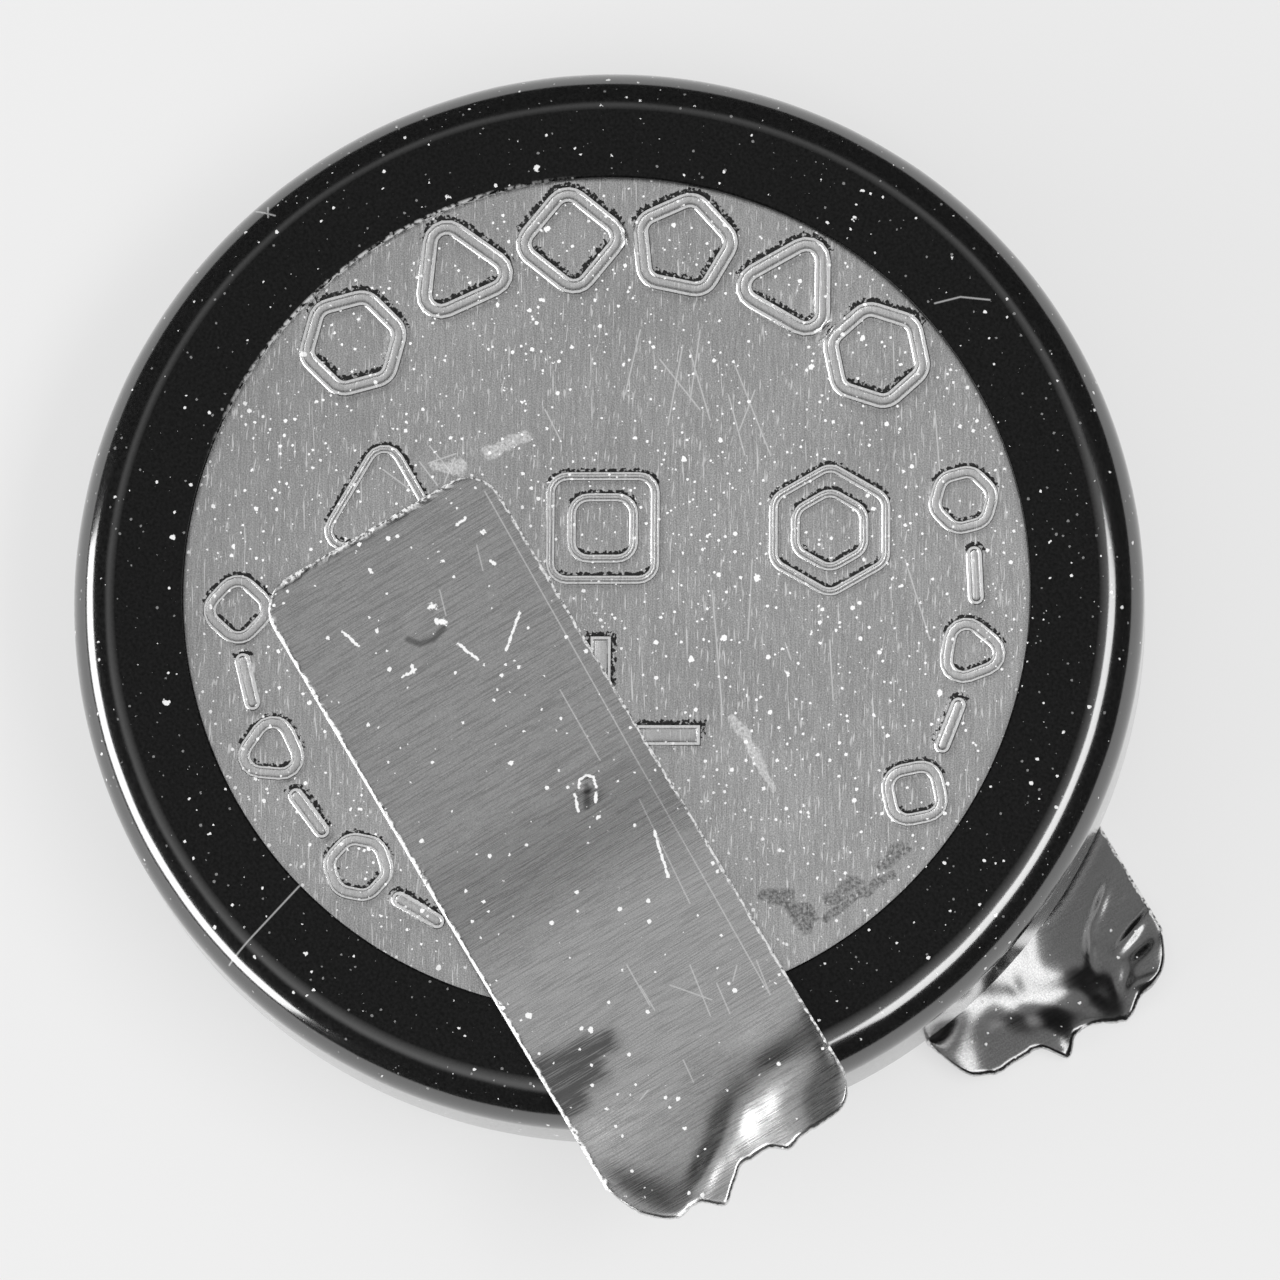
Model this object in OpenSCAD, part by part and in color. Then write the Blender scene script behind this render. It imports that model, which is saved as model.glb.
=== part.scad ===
// Lithium coin cell with two welded tabs and a heat-shrunk sleeve.
// The origin is the middle of the steel cell, on its axis. +Z is the positive face,
// +X runs along both tabs towards their torn ends.

/* [Cell] */
// Outer diameter of the steel cell
cell_d = 12.5; // [11:0.1:16]
// Height of the steel cell over both faces
cell_h = 2.0; // [1.8:0.05:3.2]

/* [Positive can] */
// Wall of the can
can_wall = 0.2; // [0.15:0.01:0.25]
// Outer radius between the can's face and its side
can_corner_r = 0.4; // [0.3:0.01:0.6]
// Outer radius of the crimp that turns the rim inwards
crimp_r = 0.42; // [0.4:0.01:0.6]
// Width of the flat lip inside the crimp
lip_w = 0.26; // [0.15:0.01:0.4]
// How far the negative face stands out past the film
face_stand = 0.03; // [0.01:0.01:0.08]

/* [Negative cap] */
// Wall of the cap
cap_wall = 0.18; // [0.12:0.01:0.22]
// Width of the flat shoulder between the cap's riser and its rim
cap_shoulder_w = 0.31; // [0.1:0.01:0.8]
// Inner radius of each bend in the cap
cap_bend_r = 0.08; // [0.04:0.01:0.1]
// Gap inside the cap's folded rim
hem_gap = 0.06; // [0.04:0.01:0.08]
// Height of the folded-back leg of the rim
hem_leg_h = 0.5; // [0.3:0.01:0.55]

/* [Gasket] */
// Wall of the gasket between the can and the cap
gasket_wall = 0.2; // [0.14:0.01:0.22]
// Thickness of the gasket's foot on the can's floor
gasket_foot_t = 0.25; // [0.15:0.01:0.3]
// How far the foot reaches inwards past the cap's rim
gasket_foot_reach = 0.3; // [0.1:0.01:0.4]
// How far the gasket shows inside the crimped lip
gasket_lip_show = 0.42; // [0.1:0.01:0.45]

/* [Inside] */
// Thickness of the separator
separator_t = 0.1; // [0.06:0.01:0.14]
// Height of the separator's turned-up edge
separator_edge_h = 0.55; // [0.2:0.05:0.75]
// Gap round each inner piece
inner_gap = 0.05; // [0.02:0.01:0.08]
// Wall of the collector ring
collector_wall = 0.08; // [0.05:0.01:0.12]
// Height of the collector ring
collector_h = 0.6; // [0.3:0.05:0.75]
// Width of the collector ring's foot
collector_foot_w = 0.7; // [0.3:0.05:1.2]

/* [Sleeve] */
// Thickness of the shrunk film
film_t = 0.12; // [0.08:0.01:0.16]
// How far the film folds in over the positive face
film_fold_w = 1.35; // [0.8:0.01:1.6]
// Gap between the film's edge under the cell and the cap
film_base_gap = 0.34; // [0.1:0.01:0.5]

/* [Tabs] */
// Width of each tab
tab_w = 3.12; // [2:0.02:3.2]
// Thickness of the tab strip
tab_t = 0.15; // [0.1:0.01:0.2]
// Length of each tab before its end was torn
tab_l = 9.0; // [8.4:0.1:9.6]
// Corner radius at each tab's welded end
tab_corner_r = 0.45; // [0.2:0.05:0.8]
// How far the positive tab's welded end lies behind the cell's axis
positive_tab_back = 2.1; // [1.8:0.01:2.3]
// How far the positive tab's middle lies to the side of the axis
positive_tab_side = 2.05; // [1.9:0.01:2.3]
// How far the negative tab's welded end lies behind the cell's axis
negative_tab_back = 2.0; // [1.8:0.01:2.3]
// How far the negative tab's middle lies to the other side
negative_tab_side = 2.17; // [1.9:0.01:2.3]
// Clearance between the positive tab and the film under it
tab_clear = 0.02; // [0.01:0.01:0.06]
// Length of the bend that lifts the positive tab over the film
joggle_l = 1.1; // [0.7:0.05:1.3]
// Length of the crushed stretch at each torn end
crush_l = 1.75; // [1.4:0.05:1.9]
// Height of the highest fold in the crushed stretch
crush_depth = 0.25; // [0.05:0.01:0.35]
// How deep the torn edges are ragged
tear_depth = 0.6; // [0.2:0.05:0.8]
// How far the crushed stretch starts inside the sound strip
crush_lap = 0.1; // [0.05:0.01:0.2]
// Diameter of the dent over each weld
weld_d = 0.44; // [0.3:0.02:0.6]
// Depth of the dent over each weld
weld_depth = 0.05; // [0.02:0.01:0.07]
// Distance of the first weld from the tab's welded end
weld_back = 1.34; // [0.8:0.02:1.6]
// Distance between a tab's two welds
weld_pitch = 2.7; // [1.6:0.1:2.9]
// How far the second weld lies to the side of the first
weld_offset = 0.6; // [0:0.05:0.9]

/* [Hidden] */
$fn = 96;
eps = 0.01;

can_r = cell_d / 2;
can_in_r = can_r - can_wall;
face_z = cell_h / 2;
floor_z = face_z - can_wall;
base_z = -cell_h / 2;
lip_z = base_z + face_stand + film_t;
lip_top_z = lip_z + can_wall;
lip_in_r = can_r - crimp_r - lip_w;

cap_out = cap_bend_r + cap_wall;
shoulder_z = lip_top_z + gasket_wall;
shoulder_top_z = shoulder_z + cap_wall;
hem_out_r = can_in_r - gasket_wall;
hem_r = hem_gap / 2 + cap_wall;
hem_mid_r = hem_out_r - hem_r;
hem_in_r = hem_out_r - 2 * hem_r;
cap_riser_r = hem_in_r - 2 * cap_bend_r - cap_shoulder_w;
cap_flat_r = cap_riser_r - cap_out;
hem_top_z = floor_z - gasket_foot_t;
hem_turn_z = hem_top_z - hem_r;

gasket_foot_r = hem_in_r - gasket_foot_reach;
gasket_show_r = lip_in_r - gasket_lip_show;

separator_r = gasket_foot_r - inner_gap;
separator_top_z = shoulder_top_z + separator_t;
collector_r = separator_r - separator_t - inner_gap;
pellet_r = collector_r - collector_wall;
lithium_r = cap_flat_r;
cap_floor_z = base_z + cap_wall;

window_r = can_r + film_t - film_fold_w;
base_window_r = cap_riser_r + film_base_gap;

positive_tab_x = -positive_tab_back;
negative_tab_x = -negative_tab_back;
// The positive tab is at its full height before it meets the window's edge
film_meet_x = sqrt(pow(window_r, 2) - pow(positive_tab_side + tab_w / 2, 2));
joggle_end_x = film_meet_x - 2 * tab_clear;
joggle_start_x = joggle_end_x - joggle_l;
joggle_rise = film_t + tab_clear;
joggle_steps = 12;
strip_end_x = positive_tab_x + tab_l - crush_l;
strip_line = concat([positive_tab_x - eps],
    [for (i = [0:joggle_steps]) joggle_start_x + joggle_l * i / joggle_steps],
    [strip_end_x]);

// Steps along and across each crushed end, and the share of it over which its dents set in
crush_rows = 14;
crush_cols = 20;
crush_set_in = 1 / 3;

// Torn edges, as [share of the half width, reach past the full length in shares of its depth]
positive_tear = [[-1, -1.25], [-0.9, -0.62], [-0.8, -0.26], [-0.64, -0.03], [-0.42, -0.04],
    [-0.27, 0.24], [-0.15, -0.03], [-0.02, -0.28], [0.12, -0.3], [0.24, -0.26], [0.34, -0.09],
    [0.47, -0.17], [0.8, -0.2], [0.92, -0.36], [1, -0.8]];
negative_tear = [[-1, -1.1], [-0.87, -0.27], [-0.68, 0.03], [-0.48, 0.07], [-0.27, 0.07],
    [-0.12, 0.5], [0.03, 0.17], [0.2, 0.2], [0.4, 0.47], [0.58, 0.23], [0.74, 0.13],
    [0.88, -0.13], [1, -0.73]];

// Dents, as [along, across, reach along, reach across, turn, height], in shares of the
// crushed stretch's length and of the half width, and of the highest fold
positive_dents = [[0.52, 0.58, 0.16, 0.26, 8, 0.3], [0.7, 0.1, 0.25, 0.13, -50, 0.21],
    [0.95, -0.77, 0.27, 1.2, -55, 0.47], [0.86, 0.53, 0.62, 0.33, -16, -0.83],
    [0.69, -1.22, 0.39, 0.77, 12, -0.53], [0.9, 0.75, 0.7, 0.52, 83, 0.99]];
negative_dents = [[1.06, 0.03, 0.21, 0.58, 44, -0.38], [0.81, 0.83, 0.25, 0.28, -75, 0.33],
    [1.16, -1.16, 0.19, 0.78, 56, 0.62], [0.72, 0.51, 0.15, 0.39, 2, -0.26],
    [0.74, 0.48, 0.18, 0.21, -41, 0.52], [0.34, -0.12, 0.19, 0.53, 48, 0.38]];

function smooth(t) = let (s = min(max(t, 0), 1)) s * s * (3 - 2 * s);

// Height that one dent adds at a place given in the same shares
function dent(p, d) =
    let (dx = p[0] - d[0], dy = p[1] - d[1],
         a = (dx * cos(d[4]) + dy * sin(d[4])) / d[2],
         b = (dy * cos(d[4]) - dx * sin(d[4])) / d[3])
    d[5] * exp(-a * a - b * b);

function crush_height(p, dents) = crush_depth * smooth(p[0] / crush_set_in)
    * ([for (d = dents) dent(p, d)] * [for (d = dents) 1]);

function joggle_z(x) = joggle_rise * smooth((x - joggle_start_x) / joggle_l);

// Quarter of a bent sheet's section, round a centre, on the side that dir points to
module bend(centre, inner_r, dir) {
    translate(centre)
        intersection() {
            difference() {
                circle(inner_r + cap_wall);
                circle(inner_r);
            }
            scale([dir[0], dir[1]]) square(inner_r + cap_wall + eps);
        }
}

// Half section of a drum with rounded outer edges
module drum_section(r, low, high, low_r, high_r) {
    translate([0, low + low_r]) square([r, high - low - low_r - high_r]);
    translate([0, low]) square([r - low_r, low_r + eps]);
    translate([0, high - high_r - eps]) square([r - high_r, high_r + eps]);
    intersection() {
        union() {
            if (low_r > 0) translate([r - low_r, low + low_r]) circle(low_r);
            if (high_r > 0) translate([r - high_r, high - high_r]) circle(high_r);
        }
        translate([0, low]) square([r, high - low]);
    }
}

module can_outline() {
    drum_section(can_r, lip_z, face_z, crimp_r, can_corner_r);
}

module can_cavity() {
    drum_section(can_in_r, lip_top_z, floor_z, crimp_r - can_wall, can_corner_r - can_wall);
}

// Flange, riser and folded rim of the cap
module cap_section() {
    translate([0, base_z]) square([cap_flat_r, cap_wall]);
    bend([cap_flat_r, base_z + cap_out], cap_bend_r, [1, -1]);
    translate([cap_flat_r + cap_bend_r, base_z + cap_out])
        square([cap_wall, shoulder_z - cap_bend_r - base_z - cap_out]);
    bend([cap_riser_r + cap_bend_r, shoulder_z - cap_bend_r], cap_bend_r, [-1, 1]);
    translate([cap_riser_r + cap_bend_r, shoulder_z])
        square([cap_shoulder_w, cap_wall]);
    bend([hem_in_r - cap_bend_r, shoulder_z + cap_out], cap_bend_r, [1, -1]);
    translate([hem_in_r, shoulder_z + cap_out])
        square([cap_wall, hem_turn_z - shoulder_z - cap_out]);
    bend([hem_mid_r, hem_turn_z], hem_gap / 2, [-1, 1]);
    bend([hem_mid_r, hem_turn_z], hem_gap / 2, [1, 1]);
    translate([hem_out_r - cap_wall, hem_turn_z - hem_leg_h]) square([cap_wall, hem_leg_h]);
}

module positive_can() {
    color("silver")
        rotate_extrude()
            difference() {
                can_outline();
                can_cavity();
                translate([0, lip_z - eps]) square([lip_in_r, can_wall + 2 * eps]);
            }
}

module negative_cap() {
    color("lightgray") rotate_extrude() cap_section();
}

// Outline of the cap's rim as the gasket wraps it, with the fold's gap filled
module rim_outline() {
    translate([0, shoulder_z]) square([hem_in_r - cap_bend_r, cap_out]);
    translate([hem_in_r - cap_bend_r, shoulder_z + cap_out]) circle(cap_out);
    translate([0, shoulder_z + cap_out])
        square([hem_in_r + cap_wall, hem_turn_z - shoulder_z - cap_out]);
    translate([hem_in_r, hem_turn_z - hem_leg_h]) square([2 * hem_r, hem_leg_h]);
    translate([hem_mid_r, hem_turn_z]) circle(hem_r);
}

module gasket_section() {
    intersection() {
        can_cavity();
        difference() {
            union() {
                translate([gasket_show_r, lip_top_z])
                    square([can_in_r - gasket_show_r, gasket_wall]);
                translate([hem_in_r - cap_bend_r, lip_top_z])
                    square([can_r - hem_in_r, hem_turn_z - lip_top_z]);
                translate([hem_mid_r, hem_turn_z]) square([can_r - hem_mid_r, hem_r]);
                translate([gasket_foot_r, hem_top_z])
                    square([can_r - gasket_foot_r, gasket_foot_t]);
            }
            rim_outline();
        }
    }
}

module gasket() {
    color("dimgray") rotate_extrude() gasket_section();
}

module collector_section() {
    translate([collector_r - collector_foot_w, floor_z - collector_wall])
        square([collector_foot_w, collector_wall]);
    translate([pellet_r, floor_z - collector_h]) square([collector_wall, collector_h]);
}

module cathode_pellet() {
    color("black")
        rotate_extrude()
            difference() {
                translate([0, separator_top_z]) square([pellet_r, floor_z - separator_top_z]);
                collector_section();
            }
}

module collector_ring() {
    color("gray") rotate_extrude() collector_section();
}

module separator() {
    color("white")
        rotate_extrude() {
            translate([0, shoulder_top_z]) square([separator_r, separator_t]);
            translate([separator_r - separator_t, shoulder_top_z])
                square([separator_t, separator_edge_h]);
        }
}

module lithium_disc() {
    color("lightsteelblue")
        rotate_extrude()
            translate([0, cap_floor_z]) square([lithium_r, shoulder_top_z - cap_floor_z]);
}

// Film shrunk round the can, folded over the rims of both faces
module sleeve() {
    color([0.1, 0.1, 0.1])
        rotate_extrude()
            difference() {
                drum_section(can_r + film_t, lip_z - film_t, face_z + film_t,
                    crimp_r + film_t, can_corner_r + film_t);
                can_outline();
                translate([0, face_z - eps]) square([window_r, film_t + 2 * eps]);
                translate([0, lip_z - film_t - eps]) square([base_window_r, film_t + 2 * eps]);
            }
}

// Plan of a tab's sound stretch, square where the crushed end takes over
module strip_plan() {
    translate([tab_corner_r, -tab_w / 2]) square([tab_l - crush_l - tab_corner_r, tab_w]);
    translate([0, tab_corner_r - tab_w / 2]) square([tab_corner_r + eps, tab_w - 2 * tab_corner_r]);
    for (side = [-1, 1])
        translate([tab_corner_r, side * (tab_w / 2 - tab_corner_r)]) circle(tab_corner_r);
}

// Side view of the positive strip, lifted over the film by a gentle joggle
module joggled_side() {
    polygon(concat(
        [for (x = strip_line) [x, face_z + joggle_z(x)]],
        [for (i = [len(strip_line) - 1:-1:0])
            [strip_line[i], face_z + tab_t + joggle_z(strip_line[i])]]));
}

// Shallow round dent of a weld, sunk into a face at z on the side that up gives
module weld_dent(up) {
    r = (pow(weld_d / 2, 2) + pow(weld_depth, 2)) / (2 * weld_depth);
    translate([0, 0, up * (r - weld_depth)]) sphere(r);
}

module weld_dents(up) {
    translate([weld_back, 0, 0]) weld_dent(up);
    translate([weld_back + weld_pitch, weld_offset, 0]) weld_dent(up);
}

// Crushed and torn end of a tab: one sheet of even thickness, from its start at x = 0
// and its underside at z = 0, with a flat lap inside the sound strip
module torn_end(tear, dents) {
    across = [for (j = [0:crush_cols]) 2 * j / crush_cols - 1];
    along = concat([-crush_lap / crush_l], [for (i = [0:crush_rows]) i / crush_rows]);
    sheet = [for (u = along, v = across)
        [u * (crush_l + max(sign(u), 0) * tear_depth * lookup(v, tear)), v * tab_w / 2,
            crush_height([u, v], dents)]];
    count = len(sheet);
    row = crush_cols + 1;
    skins = [for (i = [0:crush_rows], j = [0:crush_cols - 1])
        let (a = i * row + j, b = a + row)
        each [[a + 1, b + 1, a], [b + 1, b, a],
            [a + count, b + count, a + 1 + count], [b + count, b + 1 + count, a + 1 + count]]];
    sides = [for (i = [0:crush_rows])
        let (a = i * row, b = a + row, c = a + crush_cols, d = c + row)
        each [[a, b, b + count, a + count], [d, c, c + count, d + count]]];
    last = (crush_rows + 1) * row;
    ends = [for (j = [0:crush_cols - 1])
        each [[j + 1, j, j + count, j + 1 + count],
            [last + j, last + j + 1, last + j + 1 + count, last + j + count]]];
    polyhedron(
        points = concat([for (p = sheet) p + [0, 0, tab_t]], sheet),
        faces = concat(skins, sides, ends));
}

module positive_tab() {
    color("silver")
        translate([0, -positive_tab_side, 0]) {
            difference() {
                intersection() {
                    translate([positive_tab_x, 0, face_z - eps])
                        linear_extrude(tab_t + joggle_rise + 2 * eps) strip_plan();
                    rotate([90, 0, 0])
                        linear_extrude(tab_w + 2 * eps, center = true) joggled_side();
                }
                translate([positive_tab_x, 0, face_z + tab_t]) weld_dents(1);
            }
            translate([strip_end_x, 0, face_z + joggle_rise])
                torn_end(positive_tear, positive_dents);
        }
}

module negative_tab() {
    color("silver")
        translate([negative_tab_x, negative_tab_side, base_z - tab_t]) {
            difference() {
                linear_extrude(tab_t) strip_plan();
                weld_dents(-1);
            }
            translate([tab_l - crush_l, 0, 0]) torn_end(negative_tear, negative_dents);
        }
}

positive_can();
negative_cap();
gasket();
cathode_pellet();
collector_ring();
separator();
lithium_disc();
sleeve();
positive_tab();
negative_tab();
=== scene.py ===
import math

import bmesh
import bpy
from mathutils import Matrix, Vector, geometry, noise


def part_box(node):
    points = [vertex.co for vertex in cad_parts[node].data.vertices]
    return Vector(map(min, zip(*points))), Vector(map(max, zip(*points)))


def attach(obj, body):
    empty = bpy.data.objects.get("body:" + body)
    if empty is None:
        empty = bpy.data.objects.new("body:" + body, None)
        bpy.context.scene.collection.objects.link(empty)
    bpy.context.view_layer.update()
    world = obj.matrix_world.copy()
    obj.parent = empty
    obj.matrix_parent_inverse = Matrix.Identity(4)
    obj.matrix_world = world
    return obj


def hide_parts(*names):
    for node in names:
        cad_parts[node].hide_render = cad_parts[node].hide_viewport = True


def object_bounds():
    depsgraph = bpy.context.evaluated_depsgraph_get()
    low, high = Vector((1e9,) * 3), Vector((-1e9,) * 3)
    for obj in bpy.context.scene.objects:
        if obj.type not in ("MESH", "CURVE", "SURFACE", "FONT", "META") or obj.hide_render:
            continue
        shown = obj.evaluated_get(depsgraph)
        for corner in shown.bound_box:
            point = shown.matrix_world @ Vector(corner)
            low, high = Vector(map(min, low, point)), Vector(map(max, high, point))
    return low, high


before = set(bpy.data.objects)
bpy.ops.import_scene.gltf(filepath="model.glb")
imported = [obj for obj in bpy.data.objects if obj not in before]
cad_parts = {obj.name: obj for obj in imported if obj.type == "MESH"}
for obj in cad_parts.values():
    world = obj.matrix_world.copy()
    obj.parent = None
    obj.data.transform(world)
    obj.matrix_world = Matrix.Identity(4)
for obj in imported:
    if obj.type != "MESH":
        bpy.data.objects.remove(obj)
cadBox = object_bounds()
mm = 0.001
print("frame loaded")


# Small helpers

def newObject(name, mesh):
    obj = bpy.data.objects.new(name, mesh)
    bpy.context.scene.collection.objects.link(obj)
    return obj


def smoothStep(t):
    t = min(max(t, 0.0), 1.0)
    return t * t * (3 - 2 * t)


def grey(value):
    return (value, value, value, 1.0)


def addNode(tree, kind, inputs=None, **settings):
    node = tree.nodes.new(kind)
    for key, value in settings.items():
        setattr(node, key, value)
    for key, value in (inputs or {}).items():
        socket = node.inputs[key]
        if isinstance(value, bpy.types.NodeSocket):
            tree.links.new(value, socket)
        else:
            socket.default_value = value
    return node


def calc(tree, operation, *values, clamp=False):
    return addNode(tree, "ShaderNodeMath", dict(enumerate(values)), operation=operation,
                   use_clamp=clamp).outputs[0]


def calcVector(tree, operation, *values, scale=None):
    # gives a vector, or a plain number where the operation makes one
    inputs = dict(enumerate(values))
    if scale is not None:
        inputs["Scale"] = scale
    node = addNode(tree, "ShaderNodeVectorMath", inputs, operation=operation)
    single = operation in ("LENGTH", "DISTANCE", "DOT_PRODUCT")
    return node.outputs["Value" if single else "Vector"]


def remap(tree, value, low, high, outLow=0.0, outHigh=1.0, **settings):
    return addNode(tree, "ShaderNodeMapRange", {
        "Value": value, "From Min": low, "From Max": high, "To Min": outLow, "To Max": outHigh},
        **settings).outputs[0]


def drift(tree, place, scale, detail, amount):
    # a small vector that wanders with the place
    wave = addNode(tree, "ShaderNodeTexNoise", {"Vector": place, "Scale": scale, "Detail": detail})
    centred = calcVector(tree, "SUBTRACT", wave.outputs["Color"], (0.5, 0.5, 0.5))
    return calcVector(tree, "SCALE", centred, scale=amount)


def finishMesh(obj, sharpDeg=40.0, mergeGap=0.0004):
    mesh = obj.data
    work = bmesh.new()
    work.from_mesh(mesh)
    bmesh.ops.remove_doubles(work, verts=work.verts, dist=mergeGap * mm)
    bmesh.ops.recalc_face_normals(work, faces=work.faces)
    work.to_mesh(mesh)
    work.free()
    for face in mesh.polygons:
        face.use_smooth = True
    mesh.set_sharp_from_angle(angle=math.radians(sharpDeg))


# Camera and studio

camera = {
    "leanDeg": 10.0,  # how far the view leans off the cell's axis
    "leanTo": (0.971, -0.237),  # the side it leans to
    "rollDeg": -0.452,
    "upGuess": (-0.8582, 0.5134, 0.0),
    "aim": (0.511, 0.104, -0.008),  # mm, in the middle of the picture
    "distance": 150.0,  # mm
    "frameWidth": 15.27,  # mm across the picture at the aim
    "sensor": 36.0,
}

studio = {
    "floorHalf": 400.0,  # mm
    "floorColour": 0.24,
    "floorRoughness": 0.9,
    "floorGlow": 0.59,  # the floor is a pale light table
    "skyColour": 0.82,
    "domeGrey": 0.62,  # what the metal mirrors from straight above
    "domeDark": 0.05,  # share of that grey left lower down
    "darkFrom": 0.36,  # sine of the angle off straight above
    "darkTo": 0.56,
    "fillGrey": 0.60,  # even light on matt surfaces
    "photoRight": (0.5134, 0.8582, 0.0),
    "photoUp": (-0.8582, 0.5134, 0.0),
    "lamps": [  # angle round the picture, height angle, distance and sizes in mm, power in W
        {"name": "leftBox", "angle": 195.0, "rise": 16.0, "far": 120.0, "wide": 140.0, "tall": 42.0,
         "power": 0.13},
        {"name": "rightBox", "angle": 342.0, "rise": 60.0, "far": 120.0, "wide": 100.0, "tall": 34.0,
         "power": 0.055},
    ],
}


def placeCamera():
    lean = math.radians(camera["leanDeg"])
    side = Vector((*camera["leanTo"], 0.0)).normalized()
    back = side * math.sin(lean) + Vector((0, 0, math.cos(lean)))
    right = Vector(camera["upGuess"]).cross(back).normalized()
    up = back.cross(right)
    roll = math.radians(camera["rollDeg"])
    across = right * math.cos(roll) - up * math.sin(roll)
    upward = right * math.sin(roll) + up * math.cos(roll)
    data = bpy.data.cameras.new("photoCamera")
    data.sensor_width = camera["sensor"]
    data.lens = camera["sensor"] * camera["distance"] / camera["frameWidth"]
    data.clip_start = 0.001
    data.clip_end = 10.0
    obj = newObject("photoCamera", data)
    obj.location = (Vector(camera["aim"]) + back * camera["distance"]) * mm
    obj.rotation_euler = Matrix((across, upward, back)).transposed().to_euler()
    bpy.context.scene.camera = obj


def placeLamps():
    for lamp in studio["lamps"]:
        turn = math.radians(lamp["angle"])
        rise = math.radians(lamp["rise"])
        flat = Vector(studio["photoRight"]) * math.cos(turn) + Vector(studio["photoUp"]) * math.sin(turn)
        towards = flat * math.cos(rise) + Vector((0, 0, math.sin(rise)))
        data = bpy.data.lights.new(lamp["name"], "AREA")
        data.shape = "RECTANGLE"
        data.size = lamp["wide"] * mm
        data.size_y = lamp["tall"] * mm
        data.energy = lamp["power"]
        obj = newObject(lamp["name"], data)
        obj.location = towards * lamp["far"] * mm
        obj.rotation_euler = towards.to_track_quat("Z", "Y").to_euler()


def makeSky():
    world = bpy.data.worlds.new("studioSky")
    world.use_nodes = True
    tree = world.node_tree
    tree.nodes.clear()

    def backdrop(shade, strength=1.0):
        return addNode(tree, "ShaderNodeBackground", {
            "Color": grey(shade), "Strength": strength}).outputs[0]

    def choose(share, otherwise, chosen):
        return addNode(tree, "ShaderNodeMixShader", {0: share, 1: otherwise, 2: chosen}).outputs[0]

    path = addNode(tree, "ShaderNodeLightPath").outputs
    towards = addNode(tree, "ShaderNodeTexCoord").outputs["Generated"]
    lean = calcVector(tree, "LENGTH", calcVector(tree, "MULTIPLY", towards, (1.0, 1.0, 0.0)))
    bright = remap(tree, lean, studio["darkFrom"], studio["darkTo"], 1.0, studio["domeDark"],
                   interpolation_type="SMOOTHSTEP")
    lit = choose(path["Is Glossy Ray"], backdrop(studio["fillGrey"]),
                 backdrop(studio["domeGrey"], bright))
    both = choose(path["Is Camera Ray"], lit, backdrop(studio["skyColour"]))
    addNode(tree, "ShaderNodeOutputWorld", {"Surface": both})
    bpy.context.scene.world = world


def makeFloor():
    mesh = bpy.data.meshes.new("paleFloor")
    half = studio["floorHalf"] * mm
    low = cadBox[0][2]
    corners = ((-half, -half), (half, -half), (half, half), (-half, half))
    mesh.from_pydata([(x, y, low) for x, y in corners], [], [(0, 1, 2, 3)])
    floor = newObject("paleFloor", mesh)
    mat = bpy.data.materials.new("paleFloor")
    mat.use_nodes = True
    shader = mat.node_tree.nodes["Principled BSDF"]
    shader.inputs["Base Color"].default_value = grey(studio["floorColour"])
    shader.inputs["Roughness"].default_value = studio["floorRoughness"]
    shader.inputs["Emission Color"].default_value = grey(1.0)
    shader.inputs["Emission Strength"].default_value = studio["floorGlow"]
    mesh.materials.append(mat)


placeCamera()
placeLamps()
makeSky()
makeFloor()
bpy.context.scene.view_settings.view_transform = "Standard"
print("studio ready")


# Shader groups that several finishes share

def newGroup(name, inputs, outputName, outputKind="Float", treeKind="ShaderNodeTree"):
    tree = bpy.data.node_groups.new(name, treeKind)
    for label, kind, value in inputs:
        socket = tree.interface.new_socket(name=label, in_out="INPUT", socket_type="NodeSocket" + kind)
        if value is not None:
            socket.default_value = value
    tree.interface.new_socket(name=outputName, in_out="OUTPUT", socket_type="NodeSocket" + outputKind)
    return tree, addNode(tree, "NodeGroupInput").outputs, addNode(tree, "NodeGroupOutput")


def brushGroup():
    tree, given, out = newGroup("brushGrain", [
        ("Vector", "Vector", None), ("Angle", "Float", 0.0), ("Along", "Float", 600.0),
        ("Across", "Float", 40000.0), ("Detail", "Float", 3.0)], "Value")
    turn = addNode(tree, "ShaderNodeCombineXYZ", {2: given["Angle"]}).outputs[0]
    size = addNode(tree, "ShaderNodeCombineXYZ", {
        0: given["Along"], 1: given["Across"], 2: given["Along"]}).outputs[0]
    spun = addNode(tree, "ShaderNodeVectorRotate", {
        "Vector": given["Vector"], "Rotation": turn}, rotation_type="EULER_XYZ").outputs[0]
    grain = addNode(tree, "ShaderNodeTexNoise", {
        "Vector": calcVector(tree, "MULTIPLY", spun, size), "Scale": 1.0,
        "Detail": given["Detail"], "Roughness": 0.6})
    tree.links.new(grain.outputs[0], out.inputs["Value"])
    return tree


def speckGroup():
    # each cell may hold one speck, and few specks are big
    tree, given, out = newGroup("dustSpecks", [
        ("Vector", "Vector", None), ("Cell", "Float", 2500.0), ("Size", "Float", 0.16),
        ("Share", "Float", 0.3)], "Mask")
    scaled = calcVector(tree, "SCALE", given["Vector"], scale=given["Cell"])
    moved = calcVector(tree, "ADD", scaled, drift(tree, scaled, 5.0, 2.0, 0.3))
    cells = addNode(tree, "ShaderNodeTexVoronoi", {"Vector": moved, "Scale": 1.0}).outputs
    parts = addNode(tree, "ShaderNodeSeparateColor", {0: cells["Color"]}).outputs
    chosen = calc(tree, "LESS_THAN", parts[0], given["Share"])
    grown = calc(tree, "MULTIPLY_ADD", calc(tree, "POWER", parts[1], 2.5), 0.85, 0.15)
    reach = calc(tree, "MULTIPLY", grown, given["Size"])
    near = calc(tree, "SUBTRACT", reach, cells["Distance"])
    mask = calc(tree, "MULTIPLY", remap(tree, near, 0.0, 0.02), chosen)
    tree.links.new(mask, out.inputs["Mask"])
    return tree


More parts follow.
